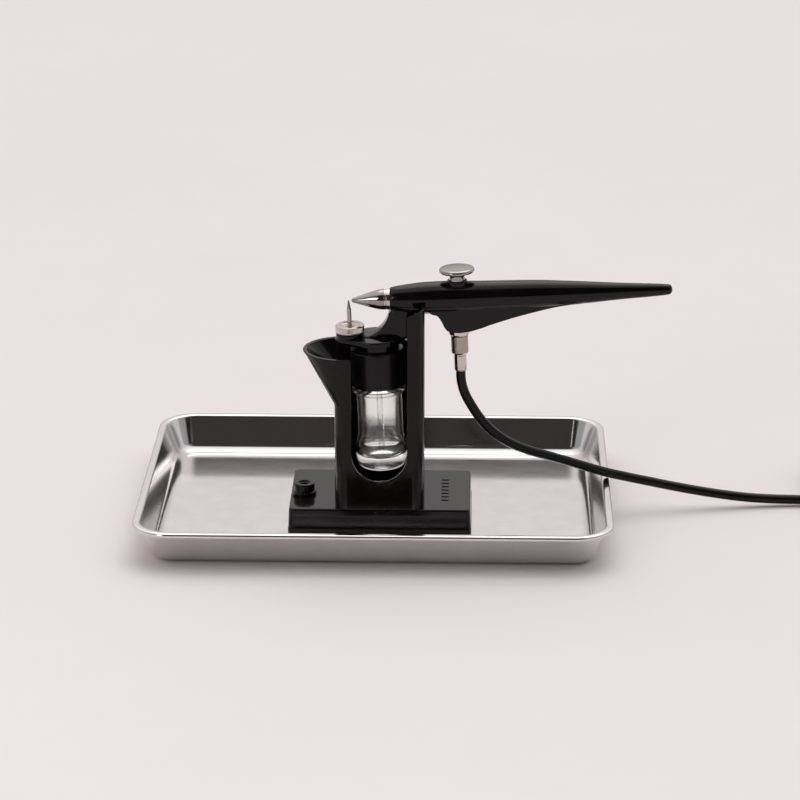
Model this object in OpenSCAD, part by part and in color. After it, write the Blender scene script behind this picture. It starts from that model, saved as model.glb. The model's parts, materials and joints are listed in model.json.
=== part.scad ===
// Airbrush holder stand with its drip tray, external-mix airbrush, paint jar and air hose.
// Frame: +X along the tray's length, towards the hose; +Y to the back; +Z up.
// Origin: centre of the tray's underside. Millimetres.

/* [Tray] */
// Length of the tray over its rim
tray_l = 236; // [225:1:260]
// Depth of the tray over its rim
tray_d = 182; // [170:1:200]
// Height of the rim above the table
tray_h = 18.7; // [16:0.1:22]
// Corner radius of the rim
tray_r = 20; // [18:1:26]
// Thickness of the pressed steel
sheet = 0.7; // [0.5:0.1:1]

/* [Stand] */
// Width of the base
base_w = 91; // [88:1:96]
// Depth of the base
base_d = 60; // [56:1:64]
// Height of the base's top above the table
base_top = 15.5; // [15:0.1:17]
// Outer width of the column
column_w = 44.4; // [43:0.1:46]
// Wall of the column
column_t = 2.1; // [1.8:0.1:2.4]
// Width of the slot in the column's front
slot_w = 27.5; // [27:0.1:29]
// Height of the cup's rim
rim_z = 93.2; // [92:0.1:95]
// How far the pouring spout's round end is carried past the column's axis
spout_shift = 18.1; // [14:0.1:20]
// Bore of the accessory socket
socket_bore = 3.8; // [3:0.1:4.4]

/* [Airbrush] */
// Tilt of the airbrush, tail up
tilt = 2.5; // [1.5:0.1:3.5]
// Length of the handle's body
body_l = 138.5; // [136:0.5:142]
// Distance from the air nozzle's tip to the button
button_u = 52.3; // [51:0.1:54]
// Diameter of the finger button
button_d = 17.5; // [15:0.1:19]
// Outer diameter of the flow dial
dial_d = 14.2; // [12:0.1:15]

/* [Jar] */
// Outer diameter of the jar's lid
lid_d = 26.6; // [26:0.1:26.8]
// Height of the jar, with its neck
jar_h = 53.7; // [50:0.1:54]

/* [Hose] */
// Outer diameter of the hose
hose_d = 4.8; // [4.4:0.1:5]

/* [Hidden] */
$fn = 64;
eps = 0.01;

// Tray section
tray_flat = 2.8;      // flat part of the rim
tray_lip = 1.9;       // depth of the rolled edge
tray_lip_r = 1.2;
wall_angle = 70;
foot_r = 7;           // inside radius where the wall meets the floor
bend_r = 0.8;         // underside radius where the wall meets the rim

// Stand
stand_x = 2.5;
base_front = -46.4;
base_y = base_front + base_d / 2;
base_corner = 3;
base_wall = 2;
foot_h = 1;
base_bottom = sheet + foot_h;
part_line = base_bottom + 3.5;
foot_d = 10;
foot_at = [28, 22];
boss_at = [39, 23.5];
boss_d = 6.4;
ballast = [60, 40, 6];
ballast_pocket = 1.5;
column_y = base_front + 18.1;
column_floor = 2;
column_corner = 6;
post_z = 118.5;
post_drop = 3.3;      // how far the post's top slopes down towards the slot
slot_low = 30.1;
window_w = 20;
window_low = 28;
window_high = 78;
spout_low = 69;
column_screw_x = 11;
socket_at = [-35.9, -23.4];
socket_top = base_top + 6;
socket_depth = 13;

// Airbrush frame: u runs from the air nozzle's tip to the tail, v is up
tip_at = [-11.5, column_y, 118.6];
nose_u = 19;
cone_u = 16.1;
cone_r = 5.2;
shank_r = 3.3;
shank_u = 30;
keel_v = -19;
button_v = 13.4;
stem_r = 1.5;
neck_r = 3.4;
valve_r = 4.6;
spring_wire_r = 0.25;
spring_turns = 5;
valve_top = 5;
poppet_v = -9;        // the valve's seat; the poppet hangs under it
needle_u = -1.5;
needle_r = 1.1;
dial_top = -12.2;
dial_bottom = -16.2;
boss_r = 7;
boss_bottom = -27;
plate_top = -18.2;
plate_bottom = -21.3;
lid_top = -24.8;
lid_bottom = -43.4;
lid_skirt_r = 11.6;
neck_top = -32.5;
jar_u = 11.4;
flange_v = -21;
nut_top = -21.2;
nut_bottom = -29.7;
nut_r = 4.15;
ferrule_bottom = -37.7;
ferrule_r = 3.15;
fit = 0.06;           // radial clearance of a running fit

// Hose: the stretch from the ferrule to the coil, then the coil on the table
hose_r = hose_d / 2;
hose_route = [
    [42.4, -28.3, 83.1], [42.8, -28.3, 77], [44.7, -28.2, 70.5], [48, -27.8, 64.2],
    [51.8, -27, 58], [56.4, -25.8, 52.2], [62, -24.2, 46.8], [69, -22.2, 42],
    [77.5, -19.6, 37.8], [87, -16.2, 34], [96.5, -12.6, 30], [106, -9, 25.8],
    [116, -5.8, 21.8], [127, -3.2, 18.4], [139, -1.2, 15.2], [151, 0.4, 12.2],
    [163, 1.8, 9.5], [175, 3.2, 7.1], [187, 4.6, 5.1], [199, 5.9, 3.8],
    [210, 6.8, 3.2], [221, 7.1, 3], [231, 7.2, 3], [240, 7.2, 3]
];
coil_at = [258, 38.4];
coil_mid_r = 28.8;
coil_z = 0.6;
tie_t = 0.5;
tie_span = 16;        // degrees of the coil under the tie
tie_from = 142;
tie_gap = 0.2;
top_from = 30;        // where the last part turn climbs on top of the coil
top_to = 340;         // where it ends
end_len = 18;

// ---- helpers ----

function arc(centre, r, from, to, steps) = [
    for (i = [0 : steps])
        let (a = from + (to - from) * i / steps)
        [centre[0] + r * cos(a), centre[1] + r * sin(a)]
];

module rounded_plan(w, d, r) {
    square([w - 2 * r, d], center = true);
    square([w, d - 2 * r], center = true);
    for (x = [-1, 1], y = [-1, 1])
        translate([x * (w / 2 - r), y * (d / 2 - r)]) circle(r);
}

// A solid drawn around the airbrush's own axis frame
module in_brush() {
    translate(tip_at) rotate([0, -tilt, 0]) children();
}

// A profile of [u, r] points turned about the u axis
module turned_u(points) {
    rotate([0, 90, 0]) rotate_extrude() polygon([for (p = points) [p[1], p[0]]]);
}

// A profile of [r, v] points turned about an upright axis at u
module turned_v(u, points) {
    translate([u, 0, 0]) rotate_extrude() polygon(points);
}

// A [u, v] outline made into a plate across the airbrush
module plate_uv(points, thickness) {
    rotate([90, 0, 0]) linear_extrude(thickness, center = true) polygon(points);
}

// ---- tray ----

function wall_run() =
    (tray_h - sheet - bend_r - (sheet + foot_r) + (foot_r + bend_r + sheet) * cos(wall_angle))
        / sin(wall_angle);
function rim_x() = tray_r - tray_flat;
function foot_x() =
    rim_x() - wall_run() * cos(wall_angle) - (foot_r + bend_r + sheet) * sin(wall_angle);

// The pressed section, from the floor's edge out to the rolled lip; x is out from the corner's centre
function tray_section() = concat(
    [[foot_x() - 1, sheet]],
    arc([foot_x(), sheet + foot_r], foot_r, -90, wall_angle - 90, 6),
    arc([rim_x(), tray_h - sheet - bend_r], bend_r + sheet, wall_angle + 90, 90, 5),
    arc([tray_r - tray_lip_r, tray_h - tray_lip_r], tray_lip_r, 90, 0, 5),
    [[tray_r, tray_h - tray_lip], [tray_r - sheet, tray_h - tray_lip]],
    arc([tray_r - tray_lip_r, tray_h - tray_lip_r], tray_lip_r - sheet, 0, 90, 5),
    arc([rim_x(), tray_h - sheet - bend_r], bend_r, 90, wall_angle + 90, 5),
    arc([foot_x(), sheet + foot_r], foot_r + sheet, wall_angle - 90, -90, 6),
    [[foot_x() - 1, 0]]
);

module tray_wall(length) {
    rotate([90, 0, 0]) linear_extrude(length, center = true) polygon(tray_section());
}

module tray() color("silver") {
    straight = [tray_l - 2 * tray_r, tray_d - 2 * tray_r];
    for (side = [0, 180]) rotate(side) {
        translate([straight[0] / 2, 0, 0]) tray_wall(straight[1]);
        rotate(90) translate([straight[1] / 2, 0, 0]) tray_wall(straight[0]);
        for (flip = [0, 1]) mirror([flip, 0, 0])
            translate([straight[0] / 2, straight[1] / 2, 0])
                rotate_extrude(angle = 90) polygon(tray_section());
    }
    linear_extrude(sheet) rounded_plan(
        straight[0] + 2 * foot_x(), straight[1] + 2 * foot_x(), foot_x()
    );
}

// ---- stand ----

module at_base() {
    translate([stand_x, base_y, 0]) children();
}

module four(at) {
    for (x = [-1, 1], y = [-1, 1]) translate([x * at[0], y * at[1], 0]) children();
}

// Row of plain raised ribs on the base's top, to the right of the column
module grip_ribs() {
    for (i = [0 : 6])
        translate([30.6, -15.6 + i * 4.9, base_top - eps]) cube([3.6, 1.6, 0.35 + eps]);
}

module base_shell() color([0.05, 0.05, 0.06]) difference() {
    at_base() {
        difference() {
            translate([0, 0, part_line]) linear_extrude(base_top - part_line)
                rounded_plan(base_w, base_d, base_corner);
            translate([0, 0, part_line - 1]) linear_extrude(base_top - base_wall - part_line + 1)
                rounded_plan(base_w - 2 * base_wall, base_d - 2 * base_wall, base_corner - base_wall);
        }
        four(boss_at) translate([0, 0, part_line])
            cylinder(d = boss_d, h = base_top - part_line - 1);
        grip_ribs();
    }
    at_base() four(boss_at) translate([0, 0, part_line - 1]) cylinder(r = 1.25, h = 8);
    translate([socket_at[0], socket_at[1], part_line]) cylinder(r = 4.05, h = base_top);
    for (s = [-1, 1]) translate([stand_x + s * column_screw_x, column_y, part_line])
        cylinder(r = 1.6, h = base_top);
}

module base_plate() color([0.09, 0.09, 0.1]) at_base() difference() {
    translate([0, 0, base_bottom]) linear_extrude(part_line - base_bottom)
        rounded_plan(base_w + 0.4, base_d + 0.4, base_corner + 0.2);
    translate([-ballast[0] / 2 - 0.2, -ballast[1] / 2 - 0.2, part_line - ballast_pocket])
        cube([ballast[0] + 0.4, ballast[1] + 0.4, 10]);
    four(boss_at) {
        cylinder(r = 1.6, h = 10);
        translate([0, 0, base_bottom - 1]) cylinder(r = 3, h = 2.5);
    }
    four(foot_at) translate([0, 0, base_bottom - 1]) cylinder(d = foot_d + 0.1, h = 1.6);
}

module ballast_plate() color([0.45, 0.46, 0.48]) at_base()
    translate([-ballast[0] / 2, -ballast[1] / 2, part_line - ballast_pocket]) cube(ballast);

module base_feet() color([0.12, 0.12, 0.12]) at_base() four(foot_at)
    translate([0, 0, sheet]) cylinder(d = foot_d, h = foot_h + 0.6);

module base_screws() color([0.6, 0.6, 0.62]) at_base() four(boss_at) {
    translate([0, 0, base_bottom + 0.2]) cylinder(r = 2.7, h = 1.3);
    translate([0, 0, base_bottom + 1]) cylinder(r = 1.2, h = 8);
}

// D-shaped plan: round at the back, flat at the front, about the column's axis
module column_plan(inset = 0) {
    r = column_w / 2 - inset;
    front = column_y - base_front - inset;
    corner = max(column_corner - inset, 0.4);
    intersection() {
        circle(r);
        translate([-r, 0]) square([2 * r, r]);
    }
    translate([-r, -front + corner]) square([2 * r, front - corner]);
    translate([-r + corner, -front]) square([2 * (r - corner), front]);
    for (s = [-1, 1]) translate([s * (r - corner), -front + corner]) circle(corner);
}

// The pouring spout: the cup's plan carried out to a wide round end at the rim
module spout(inset, low, high) {
    r = column_w / 2 - inset;
    corner = column_corner - inset;
    front = column_y - base_front - inset;
    end_r = (r + front) / 2;
    hull() {
        for (z = [low, high - 1]) translate([0, 0, z]) {
            intersection() {
                cylinder(r = r, h = 1, $fn = 36);
                translate([-r, 0, 0]) cube([2 * r, r, 1]);
            }
            for (s = [-1, 1]) translate([s * (r - corner), -front + corner, 0])
                cylinder(r = corner, h = 1, $fn = 24);
        }
        translate([-spout_shift, (r - front) / 2, high - 1])
            cylinder(r = end_r, h = 1, $fn = 48);
    }
}

module column() color([0.03, 0.03, 0.035]) difference() {
    translate([stand_x, column_y, 0]) difference() {
        union() {
            translate([0, 0, base_top]) linear_extrude(post_z - base_top) column_plan();
            spout(0.1, spout_low, rim_z);
        }
        translate([0, 0, base_top + column_floor]) linear_extrude(post_z) column_plan(column_t);
        spout(column_t + 0.6, spout_low + 3, rim_z + 1);
        // everything left of the post stops at the cup's rim
        translate([-60, -40, rim_z]) cube([60 + slot_w / 2, 80, 60]);
        // the post's top slopes down towards the slot
        translate([slot_w / 2, 0, post_z]) rotate([90, 0, 0]) linear_extrude(80, center = true)
            polygon([[-1, -post_drop], [0, -post_drop], [column_w / 2 - slot_w / 2, 0],
                [column_w, 0], [column_w, 20], [-1, 20]]);
        // front slot, round at the bottom
        translate([0, -30, slot_low + slot_w / 2]) {
            translate([-slot_w / 2, 0, 0]) cube([slot_w, 20, 100]);
            rotate([-90, 0, 0]) cylinder(d = slot_w, h = 20);
        }
        // window in the back wall
        translate([0, 8, 0]) {
            for (z = [window_low + window_w / 2, window_high - window_w / 2])
                translate([0, 0, z]) rotate([-90, 0, 0]) cylinder(d = window_w, h = 20);
            translate([-window_w / 2, 0, window_low + window_w / 2])
                cube([window_w, 20, window_high - window_low - window_w]);
        }
        for (s = [-1, 1]) translate([s * column_screw_x, 0, base_top - 1])
            cylinder(r = 1.3, h = 2.5);
    }
    // saddle for the airbrush's body
    in_brush() translate([27, 0, 0]) {
        rotate([0, 90, 0]) cylinder(r = 8.35, h = 14);
        translate([0, -8.35, 0]) cube([14, 16.7, 20]);
    }
}

module column_screws() color([0.6, 0.6, 0.62])
    for (s = [-1, 1]) translate([stand_x + s * column_screw_x, column_y, 0]) {
        translate([0, 0, base_top - base_wall - 1.6]) cylinder(r = 3, h = 1.6);
        translate([0, 0, base_top - base_wall - 1]) cylinder(r = 1.2, h = 4.4);
    }

module socket_post() color([0.05, 0.05, 0.06])
    translate([socket_at[0], socket_at[1], 0]) difference() {
        union() {
            translate([0, 0, base_top - 8.5]) cylinder(r = 4, h = 14.5);
            translate([0, 0, base_top]) cylinder(r = 6.1, h = 1.7);
            translate([0, 0, base_top]) cylinder(r = 5.3, h = 6);
        }
        translate([0, 0, socket_top - socket_depth]) cylinder(d = socket_bore, h = 20);
    }

// ---- airbrush body ----

tail_u = nose_u + body_l;
// Radius of the handle along its length
barrel = [
    [nose_u, 5.4], [nose_u + 0.6, 5.9], [27, 7], [37, 7.9], [47, 8.05], [60, 7.65],
    [75, 7.35], [90, 7], [110, 5.8], [133, 4.1], [tail_u - 5, 2.9], [tail_u - 1, 2.2]
];

// The keel under the handle that carries the valve
keel = [
    [36.5, -2], [38.5, -8.7], [41, -9.6], [43.3, -11], [44.7, -13.2], [46.8, -16.6],
    [49, -18.5], [51, keel_v], [56, keel_v], [69, -15.5], [85, -10.5], [101, -6.6],
    [118, -4], [118, -2]
];

module body_solid() {
    turned_u(concat([[nose_u, 0]], barrel, [[tail_u, 1], [tail_u, 0]]));
    intersection() {
        plate_uv(keel, 20);
        translate([0, 0, -25]) linear_extrude(40) polygon([
            [30, -5.6], [57, -5.6], [85, -4.2], [120, -2.6],
            [120, 2.6], [85, 4.2], [57, 5.6], [30, 5.6]
        ]);
    }
}

// Space inside the handle: the air tube's run and the valve's pocket
module body_space() {
    turned_u([
        [shank_u, 0], [shank_u, 3.5], [42, 6], [60, 5.7], [90, 5], [120, 3.2], [130, 2], [130, 0]
    ]);
    translate([button_u, 0, -20]) cylinder(r = valve_r + fit, h = 20);
    translate([button_u, 0, 0]) cylinder(r = 4.7, h = 20);
    rotate([0, 90, 0]) cylinder(r = shank_r + fit, h = shank_u + 1);
}

module body_half(side) color([0.03, 0.03, 0.035]) in_brush() difference() {
    body_solid();
    body_space();
    translate([0, side > 0 ? -30 : 0, -40]) cube([200, 30, 80]);
}

module body_left() body_half(-1);
module body_right() body_half(1);

// ---- nozzles ----

module air_nozzle() color([0.78, 0.76, 0.72]) in_brush() turned_u([
    [0, 0.45], [0, 0.8], [4, 2.1], [10, 3.95], [14, 4.95], [cone_u, cone_r], [cone_u, shank_r],
    [shank_u, shank_r], [shank_u, 1.6], [6, 1.6], [2, 0.45]
]);

module nozzle_collar() color([0.85, 0.84, 0.8]) in_brush()
    turned_u([[cone_u, shank_r + fit], [cone_u, cone_r], [nose_u, cone_r], [nose_u, shank_r + fit]]);

module air_tube() color([0.75, 0.6, 0.35]) in_brush()
    turned_u([[shank_u, 1.3], [shank_u, 2], [46, 2], [46, 1.3]]);

// Two discs, over the jar and round the needle's boss, joined by their tangents
module plate_plan() {
    big = 14;
    small = boss_r + 0.5;
    lean = acos((big - small) / (jar_u - needle_u));
    translate([jar_u, 0]) circle(big);
    translate([needle_u, 0]) circle(small);
    polygon([
        for (side = [1, -1], at = side > 0 ? [[jar_u, big], [needle_u, small]]
                                           : [[needle_u, small], [jar_u, big]])
            [at[0] - at[1] * cos(lean), side * at[1] * sin(lean)]
    ]);
}

// Neck from the handle down to the plate that the jar hangs from, with the paint nozzle's boss
module nozzle_bracket() color([0.04, 0.04, 0.045]) in_brush() difference() {
    union() {
        translate([needle_u, 0, boss_bottom]) cylinder(r = boss_r, h = dial_bottom - boss_bottom);
        translate([0, 0, plate_bottom]) linear_extrude(plate_top - plate_bottom) plate_plan();
        translate([jar_u, 0, lid_top]) cylinder(r = 11, h = plate_bottom - lid_top + 1);
        difference() {
            plate_uv(concat(
                [[30, -5], [28, -10], [25, plate_top - 1], [3, plate_top - 1]],
                [for (p = arc([3.2, -3], 15.2, -84, -12, 8)) p],
                [[nose_u, -5.4]]
            ), 10.4);
            // the neck is cut to the handle it is bonded to
            turned_u(concat([[nose_u, 0]], barrel, [[tail_u, 0]]));
        }
    }
    // the boss is cut clear of the lid's rim
    translate([jar_u, 0, boss_bottom - 1])
        cylinder(d = lid_d + 0.4, h = lid_top - boss_bottom + 1);
    translate([needle_u, 0, boss_bottom + 2]) cylinder(r = needle_r + fit, h = 30);
    translate([needle_u, 0, -18.3]) cylinder(r = 3 + fit, h = 10);
    translate([needle_u, 0, -19.8]) rotate([0, 90, 0]) cylinder(r = 0.9, h = jar_u - needle_u);
    translate([jar_u, 0, lid_top - 1]) cylinder(r = 1.55, h = -19.8 - lid_top + 1);
}

module flow_dial() color([0.85, 0.84, 0.82]) in_brush() difference() {
    union() {
        translate([needle_u, 0, dial_bottom + 0.05])
            cylinder(d = dial_d, h = dial_top - dial_bottom - 0.05);
        translate([needle_u, 0, -18.2]) cylinder(r = 3, h = 3);
    }
    translate([needle_u, 0, -30]) cylinder(r = needle_r + fit, h = 30);
}

module paint_nozzle() color([0.6, 0.58, 0.55]) in_brush() turned_v(needle_u, [
    [0.25, 0], [0.4, 0], [0.95, -3.8], [needle_r, -4], [needle_r, -24], [0.6, -24], [0.6, -5],
    [0.25, -1.5]
]);

module suction_tube() color([0.9, 0.9, 0.9, 0.5]) in_brush()
    turned_v(jar_u, [[1, -20.4], [1.5, -20.4], [1.5, -79.5], [1, -79.5]]);

// ---- valve and button ----

module valve_body() color([0.8, 0.68, 0.4]) in_brush() difference() {
    union() {
        translate([button_u, 0, keel_v]) cylinder(r = valve_r, h = valve_top - keel_v);
        translate([46, 0, 0]) rotate([0, 90, 0]) cylinder(r = 2.9, h = 4);
    }
    translate([button_u, 0, keel_v - 1]) cylinder(r = 2.5, h = 1 + poppet_v - keel_v);
    translate([button_u, 0, poppet_v - 1]) cylinder(r = 1.3, h = 3);
    translate([button_u, 0, poppet_v + 1.5]) cylinder(r = 2.6, h = 3.3 - poppet_v - 1.5);
    translate([button_u, 0, 0]) cylinder(r = stem_r + fit, h = 20);
    translate([40, 0, 0]) rotate([0, 90, 0]) cylinder(r = 1.3, h = button_u - 40);
}

module valve_o_ring() color([0.1, 0.1, 0.1]) in_brush()
    translate([button_u, 0, 2.7]) rotate_extrude() translate([2.06, 0]) circle(0.5);

// Coil spring between the inlet adapter and the poppet
module valve_spring() color([0.7, 0.7, 0.72]) in_brush() {
    low = -17.3 + spring_wire_r;
    high = poppet_v - 1.4 - spring_wire_r;
    steps = spring_turns * 12;
    translate([button_u, 0, 0]) swept_tube([
        for (i = [0 : steps])
            [1.75 * cos(30 * i), 1.75 * sin(30 * i), low + (high - low) * i / steps]
    ], spring_wire_r, 6);
}

module button_collar() color([0.03, 0.03, 0.035]) in_brush() difference() {
    translate([button_u, 0, valve_top]) cylinder(r = 4.65, h = 9.3 - valve_top);
    translate([button_u, 0, 0]) cylinder(r = neck_r + fit, h = 20);
    translate([button_u, 0, 8.4]) cylinder(r = 4.3, h = 5);
}

module button_cap() color([0.82, 0.8, 0.76]) in_brush() turned_v(button_u, concat(
    [[0, 8.3], [neck_r, 8.3], [neck_r, 11.6], [4.2, 12]],
    arc([button_d / 2 - 1.1, button_v - 0.3], 1.1, -70, 90, 8),
    [[0, button_v + 0.8]]
));

module button_stem() color([0.75, 0.75, 0.76]) in_brush() turned_v(button_u, [
    [0, 8.3], [stem_r, 8.3], [stem_r, -4], [0.8, -5], [0.8, poppet_v - 0.1],
    [2, poppet_v - 0.1], [2, poppet_v - 1.4], [0, poppet_v - 1.4]
]);

module inlet_adapter() color([0.85, 0.83, 0.78]) in_brush() turned_v(button_u, [
    [1.4, -17.3], [2.44, -17.3], [2.44, keel_v], [5.25, keel_v], [5.25, flange_v],
    [3.2, flange_v], [3.2, -27], [1.4, -27]
]);

// ---- jar ----

module jar_lid() color([0.03, 0.03, 0.035]) in_brush() turned_v(jar_u, [
    [1.55, lid_top], [lid_d / 2 - 0.6, lid_top], [lid_d / 2, lid_top - 0.6],
    [lid_d / 2, lid_bottom], [lid_skirt_r, lid_bottom], [lid_skirt_r, neck_top + 1],
    [1.55, neck_top + 1]
]);

module lid_gasket() color([0.85, 0.84, 0.8]) in_brush()
    turned_v(jar_u, [[1.6, neck_top + 1], [11.4, neck_top + 1], [11.4, neck_top], [1.6, neck_top]]);

jar_low = neck_top - jar_h;
module jar() color([0.8, 0.88, 0.86, 0.5]) in_brush() turned_v(jar_u, concat(
    [[9.2, neck_top], [11.2, neck_top], [11.2, -44]],
    arc([11.9, -45.6], 1.4, 80, -80, 6),
    [[11.2, -48.5], [11.2, -62], [11.6, -65]],
    [[13, -70.5], [13, jar_low + 7.2], [12.4, jar_low + 4.7], [10.6, jar_low + 0.6]],
    [[10, jar_low], [0, jar_low], [0, jar_low + 4.7], [9, jar_low + 5]],
    [[11, jar_low + 7.2], [11.2, -71], [9.7, -65], [9.2, -61]]
));

// ---- hose fittings ----

module hose_nut() color([0.82, 0.8, 0.76]) in_brush() turned_v(button_u, [
    [3.2 + fit, nut_top], [nut_r, nut_top], [nut_r, nut_bottom], [2.3, nut_bottom],
    [2.3, -28.2], [3.2 + fit, -28.2]
]);

module hose_barb() color([0.8, 0.78, 0.74]) in_brush() turned_v(button_u, [
    [0.9, -27.05], [3.1, -27.05], [3.1, -28.1], [2.2, -28.1], [2.2, ferrule_bottom + 0.1],
    [0.9, ferrule_bottom + 0.1]
]);

module hose_ferrule() color([0.82, 0.8, 0.76]) in_brush() turned_v(button_u, [
    [2.25, nut_bottom - 0.1], [ferrule_r, nut_bottom - 0.1], [ferrule_r, ferrule_bottom],
    [2.25, ferrule_bottom]
]);

// ---- hose ----

function unit(v) = v / norm(v);
function heading(p, i) =
    unit(p[min(i + 1, len(p) - 1)] - p[max(i - 1, 0)]);

// Each ring stands square to the route, with one spoke kept level
function ring(p, i, r, sides) =
    let (t = heading(p, i), side = unit(cross(t, [0.2, 1, 0.1])), up = cross(side, t))
    [for (k = [0 : sides - 1])
        p[i] + r * (cos(360 * k / sides) * side + sin(360 * k / sides) * up)];

module swept_tube(route, r, sides) {
    rings = len(route);
    points = [for (i = [0 : rings - 1]) each ring(route, i, r, sides)];
    caps = [
        [for (k = [0 : sides - 1]) k],
        [for (k = [sides - 1 : -1 : 0]) (rings - 1) * sides + k]
    ];
    sides_faces = [
        for (i = [0 : rings - 2], k = [0 : sides - 1])
            let (a = i * sides + k, b = i * sides + (k + 1) % sides)
            each [[a, a + sides, b + sides], [a, b + sides, b]]
    ];
    polyhedron(points, concat(caps, sides_faces));
}

module hose() color([0.04, 0.04, 0.045]) swept_tube(hose_route, hose_r, 10);

module at_coil() {
    translate([coil_at[0], coil_at[1], coil_z]) children();
}

// Two turns beside each other in two layers, with the last part turn on top
module hose_coil() color([0.05, 0.05, 0.055]) at_coil() {
    rotate_extrude() translate([coil_mid_r - hose_d, 0]) square([2 * hose_d, 2 * hose_d]);
    rotate(top_from) rotate_extrude(angle = top_to - top_from)
        translate([coil_mid_r - hose_r, 2 * hose_d - eps]) square([hose_d, hose_d + eps]);
}

module coil_tie() color([0.1, 0.1, 0.1]) at_coil() rotate(tie_from)
    rotate_extrude(angle = tie_span) difference() {
        translate([coil_mid_r - hose_d - tie_gap - tie_t, -tie_t])
            square([2 * (hose_d + tie_gap + tie_t), 3 * hose_d + 2 * tie_t + tie_gap]);
        translate([coil_mid_r - hose_d - tie_gap, 0])
            square([2 * (hose_d + tie_gap), 3 * hose_d + tie_gap]);
    }

// The fitting at the compressor's end lies on top of the coil
module at_end() {
    at_coil() rotate(top_to)
        translate([coil_mid_r, 0, 2 * hose_d + nut_r + 0.1]) rotate([-90, 0, 0]) children();
}

module end_nut() color([0.82, 0.8, 0.76]) at_end() difference() {
    translate([0, 0, 6]) cylinder(r = nut_r, h = end_len - 6);
    cylinder(r = 2.3, h = end_len);
    translate([0, 0, 8]) cylinder(r = 3.5, h = 1.2);
    translate([0, 0, 8]) cylinder(r = 3.26, h = end_len);
}

module end_barb() color([0.8, 0.78, 0.74]) at_end() difference() {
    union() {
        cylinder(r = 3, h = 5.9);
        cylinder(r = 2.2, h = 9);
        translate([0, 0, 8.05]) cylinder(r = 3.1, h = 1.1);
    }
    translate([0, 0, -1]) cylinder(r = 0.9, h = 20);
}

// ---- parts ----

tray();
base_shell();
base_plate();
ballast_plate();
base_feet();
base_screws();
column();
column_screws();
socket_post();
body_left();
body_right();
nozzle_bracket();
air_nozzle();
nozzle_collar();
air_tube();
valve_body();
valve_o_ring();
valve_spring();
button_collar();
inlet_adapter();
button_cap();
button_stem();
flow_dial();
paint_nozzle();
suction_tube();
jar_lid();
lid_gasket();
jar();
hose_nut();
hose_barb();
hose_ferrule();
hose();
hose_coil();
coil_tie();
end_nut();
end_barb();
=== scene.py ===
"""Airbrush holder stand with its drip tray, airbrush, paint jar and air hose, dressed around the CAD frame.

Lengths are in millimetres, in the frame's axes, and become metres when a mesh is made:
+X along the tray towards the hose, +Y to the back, +Z up, origin under the tray's centre.
Inside the airbrush, u runs from the air nozzle's tip to the tail and v is up.
"""

import bisect
import json
import math

import bmesh
import bpy
from mathutils import Matrix, Vector, geometry


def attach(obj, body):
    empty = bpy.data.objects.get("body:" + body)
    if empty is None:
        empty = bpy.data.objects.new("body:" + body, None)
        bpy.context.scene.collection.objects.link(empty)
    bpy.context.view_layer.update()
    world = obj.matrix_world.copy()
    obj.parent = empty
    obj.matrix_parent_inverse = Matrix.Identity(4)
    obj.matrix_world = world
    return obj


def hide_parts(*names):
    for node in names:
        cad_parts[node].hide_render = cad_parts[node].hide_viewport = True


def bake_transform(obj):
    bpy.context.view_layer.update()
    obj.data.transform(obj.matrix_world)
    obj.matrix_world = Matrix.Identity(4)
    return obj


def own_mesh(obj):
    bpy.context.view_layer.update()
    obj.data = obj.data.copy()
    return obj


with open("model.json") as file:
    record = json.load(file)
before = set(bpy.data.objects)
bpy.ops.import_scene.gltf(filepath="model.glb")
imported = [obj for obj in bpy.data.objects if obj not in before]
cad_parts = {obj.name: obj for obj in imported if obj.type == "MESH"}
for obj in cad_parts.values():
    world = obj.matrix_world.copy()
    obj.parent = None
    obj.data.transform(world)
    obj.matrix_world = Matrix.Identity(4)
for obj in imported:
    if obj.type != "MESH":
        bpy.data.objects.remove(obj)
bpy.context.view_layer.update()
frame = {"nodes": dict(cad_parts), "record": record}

MM = 0.001
FULL = 2 * math.pi
COLUMN_AT = Vector((2.5, -28.3, 0))
BRUSH_AT = (-11.5, -28.3, 118.6)
BRUSH_TILT = math.radians(2.5)      # the handle rises towards its tail
BRUSH = Matrix.Translation(BRUSH_AT) @ Matrix.Rotation(-BRUSH_TILT, 4, "Y")
BUTTON_U = 52.3
NEEDLE_U = -1.5
JAR_U = 11.4


# ---- camera ----

def make_camera():
    data = bpy.data.cameras.new("camera")
    data.sensor_width = 36
    data.lens = 146.25
    data.clip_start = 0.05
    data.clip_end = 60
    camera = bpy.data.objects.new("camera", data)
    camera.location = (0.0497, -1.5565, 0.5845)
    camera.rotation_euler = (math.radians(71.3), 0, math.radians(1.4))
    bpy.context.scene.collection.objects.link(camera)
    bpy.context.scene.camera = camera
    bpy.context.scene.view_settings.view_transform = "Standard"


# ---- curves and outlines ----

def arc(centre, radius, start, end, steps):
    """Points on an arc, its angles in degrees"""
    angles = [math.radians(start + (end - start) * i / steps) for i in range(steps + 1)]
    return [(centre[0] + radius * math.cos(a), centre[1] + radius * math.sin(a)) for a in angles]


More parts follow.
